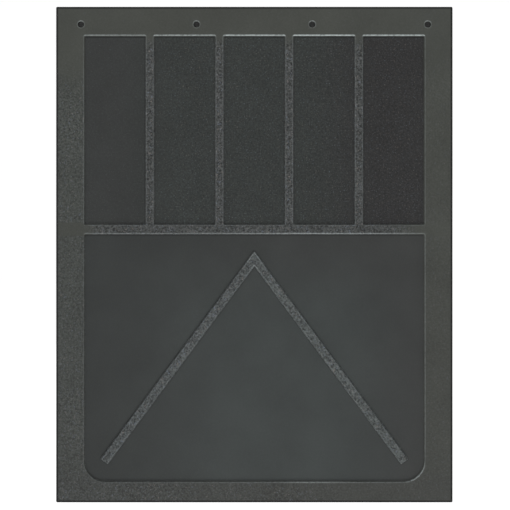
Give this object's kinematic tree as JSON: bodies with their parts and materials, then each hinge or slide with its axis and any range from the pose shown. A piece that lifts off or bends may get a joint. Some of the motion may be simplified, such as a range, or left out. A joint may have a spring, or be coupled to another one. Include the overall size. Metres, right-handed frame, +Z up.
{
  "type": "mud flap",
  "caption": "Flat rectangular rubber mud flap for a truck or trailer, with bolt holes along its top edge and a moulded front of borders, upright ribs, a crossbar and an inverted V.",
  "frame": {"origin": "middle of the row of bolt holes, on the flat back face of the header band", "axes": "+Z up along the flap's length, towards the edge it hangs from; +Y out of the flat back, towards the wheel; +X along its width, to the right when the ribbed front (-Y) is looked at"},
  "size_m": [0.6096, 0.0095, 0.762],
  "materials": {
    "sheet_rubber": "satin",
    "border_rubber": "matte",
    "rib_rubber": "matte"
  },
  "bodies": {
    "header": {"header_band": "border_rubber", "sheet_neck": "sheet_rubber", "left_border_neck": "border_rubber", "right_border_neck": "border_rubber", "rib_1_neck": "rib_rubber", "rib_2_neck": "rib_rubber", "rib_3_neck": "rib_rubber", "rib_4_neck": "rib_rubber"},
    "upper": {"sheet_upper": "sheet_rubber", "left_border_upper": "border_rubber", "right_border_upper": "border_rubber", "rib_1_upper": "rib_rubber", "rib_2_upper": "rib_rubber", "rib_3_upper": "rib_rubber", "rib_4_upper": "rib_rubber"},
    "middle": {"sheet_middle": "sheet_rubber", "left_border_middle": "border_rubber", "right_border_middle": "border_rubber", "rib_1_middle": "rib_rubber", "rib_2_middle": "rib_rubber", "rib_3_middle": "rib_rubber", "rib_4_middle": "rib_rubber", "crossbar": "rib_rubber"},
    "lower": {"sheet_lower": "sheet_rubber", "left_border_lower": "border_rubber", "right_border_lower": "border_rubber", "chevron_left_lower": "rib_rubber", "chevron_right_lower": "rib_rubber"},
    "tail": {"sheet_tail": "sheet_rubber", "left_border_tail": "border_rubber", "right_border_tail": "border_rubber", "chevron_left_tail": "rib_rubber", "chevron_right_tail": "rib_rubber", "bottom_border": "border_rubber"}
  },
  "joints": [
    {"name": "header_flex", "type": "hinge", "parent": "header", "child": "upper", "pos_m": [0, -0.00476, -0.072], "axis": [1, 0, 0], "range_deg": [-15, 15], "stiffness_Nm_per_rad": 1.2},
    {"name": "upper_flex", "type": "hinge", "parent": "upper", "child": "middle", "pos_m": [0, -0.00476, -0.187], "axis": [1, 0, 0], "range_deg": [-15, 15], "stiffness_Nm_per_rad": 1.1},
    {"name": "crossbar_flex", "type": "hinge", "parent": "middle", "child": "lower", "pos_m": [0, -0.00476, -0.325], "axis": [1, 0, 0], "range_deg": [-15, 15], "stiffness_Nm_per_rad": 0.8},
    {"name": "lower_flex", "type": "hinge", "parent": "lower", "child": "tail", "pos_m": [0, -0.00476, -0.485], "axis": [1, 0, 0], "range_deg": [-15, 15], "stiffness_Nm_per_rad": 0.75}
  ]
}
